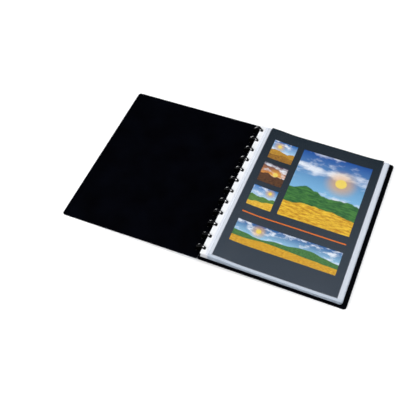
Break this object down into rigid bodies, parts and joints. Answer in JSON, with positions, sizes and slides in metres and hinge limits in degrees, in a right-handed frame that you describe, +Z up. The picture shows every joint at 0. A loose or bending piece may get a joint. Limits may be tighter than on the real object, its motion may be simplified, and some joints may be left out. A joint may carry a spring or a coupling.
{
  "type": "clear pocket display book",
  "caption": "Disc-bound display book: black covers and stacked clear pockets with white punched strips turn about a row of rimmed discs; a print slides into the top pocket.",
  "frame": {"origin": "on the table under the discs' axis, at the middle of the book's height", "axes": "+X to the right, across the open book towards the back cover's fore-edge; +Y up the page along the spine; +Z up from the table"},
  "size_m": [0.5034, 0.312, 0.019],
  "materials": {
    "cover_plastic": "satin black polypropylene",
    "disc_plastic": "glossy black moulded",
    "strip_plastic": "white satin",
    "clear_film": "clear glossy film",
    "insert_paper": "printed paper",
    "label_card": "matt grey card"
  },
  "bodies": {
    "back_cover": {"back_cover": "cover_plastic"},
    "front_cover": {"front_cover": "cover_plastic", "label_strip": "label_card"},
    "pocket_01": {"pocket_01_strip": "strip_plastic", "pocket_01_front_film": "clear_film", "pocket_01_back_film": "clear_film", "pocket_01_welds": "clear_film"},
    "pocket_02": {"pocket_02_strip": "strip_plastic", "pocket_02_front_film": "clear_film", "pocket_02_back_film": "clear_film", "pocket_02_welds": "clear_film"},
    "pocket_03": {"pocket_03_strip": "strip_plastic", "pocket_03_front_film": "clear_film", "pocket_03_back_film": "clear_film", "pocket_03_welds": "clear_film"},
    "pocket_04": {"pocket_04_strip": "strip_plastic", "pocket_04_front_film": "clear_film", "pocket_04_back_film": "clear_film", "pocket_04_welds": "clear_film"},
    "pocket_05": {"pocket_05_strip": "strip_plastic", "pocket_05_front_film": "clear_film", "pocket_05_back_film": "clear_film", "pocket_05_welds": "clear_film"},
    "pocket_06": {"pocket_06_strip": "strip_plastic", "pocket_06_front_film": "clear_film", "pocket_06_back_film": "clear_film", "pocket_06_welds": "clear_film"},
    "pocket_07": {"pocket_07_strip": "strip_plastic", "pocket_07_front_film": "clear_film", "pocket_07_back_film": "clear_film", "pocket_07_welds": "clear_film"},
    "pocket_08": {"pocket_08_strip": "strip_plastic", "pocket_08_front_film": "clear_film", "pocket_08_back_film": "clear_film", "pocket_08_welds": "clear_film"},
    "pocket_09": {"pocket_09_strip": "strip_plastic", "pocket_09_front_film": "clear_film", "pocket_09_back_film": "clear_film", "pocket_09_welds": "clear_film"},
    "pocket_10": {"pocket_10_strip": "strip_plastic", "pocket_10_front_film": "clear_film", "pocket_10_back_film": "clear_film", "pocket_10_welds": "clear_film"},
    "insert": {"insert_sheet": "insert_paper"},
    "disc_01": {"disc_01": "disc_plastic"},
    "disc_02": {"disc_02": "disc_plastic"},
    "disc_03": {"disc_03": "disc_plastic"},
    "disc_04": {"disc_04": "disc_plastic"},
    "disc_05": {"disc_05": "disc_plastic"},
    "disc_06": {"disc_06": "disc_plastic"},
    "disc_07": {"disc_07": "disc_plastic"},
    "disc_08": {"disc_08": "disc_plastic"},
    "disc_09": {"disc_09": "disc_plastic"},
    "disc_10": {"disc_10": "disc_plastic"},
    "disc_11": {"disc_11": "disc_plastic"},
    "disc_12": {"disc_12": "disc_plastic"}
  },
  "joints": [
    {"name": "front_cover_turn", "type": "hinge", "parent": "back_cover", "child": "front_cover", "pos_m": [0, 0, 0.0095], "axis": [0, -1, 0], "range_deg": [-181.46, 0]},
    {"name": "insert_slide", "type": "slide", "parent": "pocket_01", "child": "insert", "axis": [0, 1, 0], "range_m": [-0.0025, 0.3]},
    {"name": "pocket_01_turn", "type": "hinge", "parent": "pocket_02", "child": "pocket_01", "pos_m": [0, 0, 0.0095], "axis": [0, -1, 0], "range_deg": [0, 180]},
    {"name": "pocket_02_turn", "type": "hinge", "parent": "pocket_03", "child": "pocket_02", "pos_m": [0, 0, 0.0095], "axis": [0, -1, 0], "range_deg": [0, 180]},
    {"name": "pocket_03_turn", "type": "hinge", "parent": "pocket_04", "child": "pocket_03", "pos_m": [0, 0, 0.0095], "axis": [0, -1, 0], "range_deg": [0, 180]},
    {"name": "pocket_04_turn", "type": "hinge", "parent": "pocket_05", "child": "pocket_04", "pos_m": [0, 0, 0.0095], "axis": [0, -1, 0], "range_deg": [0, 180]},
    {"name": "pocket_05_turn", "type": "hinge", "parent": "pocket_06", "child": "pocket_05", "pos_m": [0, 0, 0.0095], "axis": [0, -1, 0], "range_deg": [0, 180]},
    {"name": "pocket_06_turn", "type": "hinge", "parent": "pocket_07", "child": "pocket_06", "pos_m": [0, 0, 0.0095], "axis": [0, -1, 0], "range_deg": [0, 180]},
    {"name": "pocket_07_turn", "type": "hinge", "parent": "pocket_08", "child": "pocket_07", "pos_m": [0, 0, 0.0095], "axis": [0, -1, 0], "range_deg": [0, 180]},
    {"name": "pocket_08_turn", "type": "hinge", "parent": "pocket_09", "child": "pocket_08", "pos_m": [0, 0, 0.0095], "axis": [0, -1, 0], "range_deg": [0, 180]},
    {"name": "pocket_09_turn", "type": "hinge", "parent": "pocket_10", "child": "pocket_09", "pos_m": [0, 0, 0.0095], "axis": [0, -1, 0], "range_deg": [0, 180]},
    {"name": "pocket_10_turn", "type": "hinge", "parent": "back_cover", "child": "pocket_10", "pos_m": [0, 0, 0.0095], "axis": [0, -1, 0], "range_deg": [0, 180]},
    {"name": "spin_disc_01", "type": "hinge", "parent": "back_cover", "child": "disc_01", "pos_m": [0, 0, 0.0095], "axis": [0, 1, 0], "continuous": true},
    {"name": "spin_disc_02", "type": "hinge", "parent": "back_cover", "child": "disc_02", "pos_m": [0, 0, 0.0095], "axis": [0, 1, 0], "continuous": true},
    {"name": "spin_disc_03", "type": "hinge", "parent": "back_cover", "child": "disc_03", "pos_m": [0, 0, 0.0095], "axis": [0, 1, 0], "continuous": true},
    {"name": "spin_disc_04", "type": "hinge", "parent": "back_cover", "child": "disc_04", "pos_m": [0, 0, 0.0095], "axis": [0, 1, 0], "continuous": true},
    {"name": "spin_disc_05", "type": "hinge", "parent": "back_cover", "child": "disc_05", "pos_m": [0, 0, 0.0095], "axis": [0, 1, 0], "continuous": true},
    {"name": "spin_disc_06", "type": "hinge", "parent": "back_cover", "child": "disc_06", "pos_m": [0, 0, 0.0095], "axis": [0, 1, 0], "continuous": true},
    {"name": "spin_disc_07", "type": "hinge", "parent": "back_cover", "child": "disc_07", "pos_m": [0, 0, 0.0095], "axis": [0, 1, 0], "continuous": true},
    {"name": "spin_disc_08", "type": "hinge", "parent": "back_cover", "child": "disc_08", "pos_m": [0, 0, 0.0095], "axis": [0, 1, 0], "continuous": true},
    {"name": "spin_disc_09", "type": "hinge", "parent": "back_cover", "child": "disc_09", "pos_m": [0, 0, 0.0095], "axis": [0, 1, 0], "continuous": true},
    {"name": "spin_disc_10", "type": "hinge", "parent": "back_cover", "child": "disc_10", "pos_m": [0, 0, 0.0095], "axis": [0, 1, 0], "continuous": true},
    {"name": "spin_disc_11", "type": "hinge", "parent": "back_cover", "child": "disc_11", "pos_m": [0, 0, 0.0095], "axis": [0, 1, 0], "continuous": true},
    {"name": "spin_disc_12", "type": "hinge", "parent": "back_cover", "child": "disc_12", "pos_m": [0, 0, 0.0095], "axis": [0, 1, 0], "continuous": true}
  ]
}
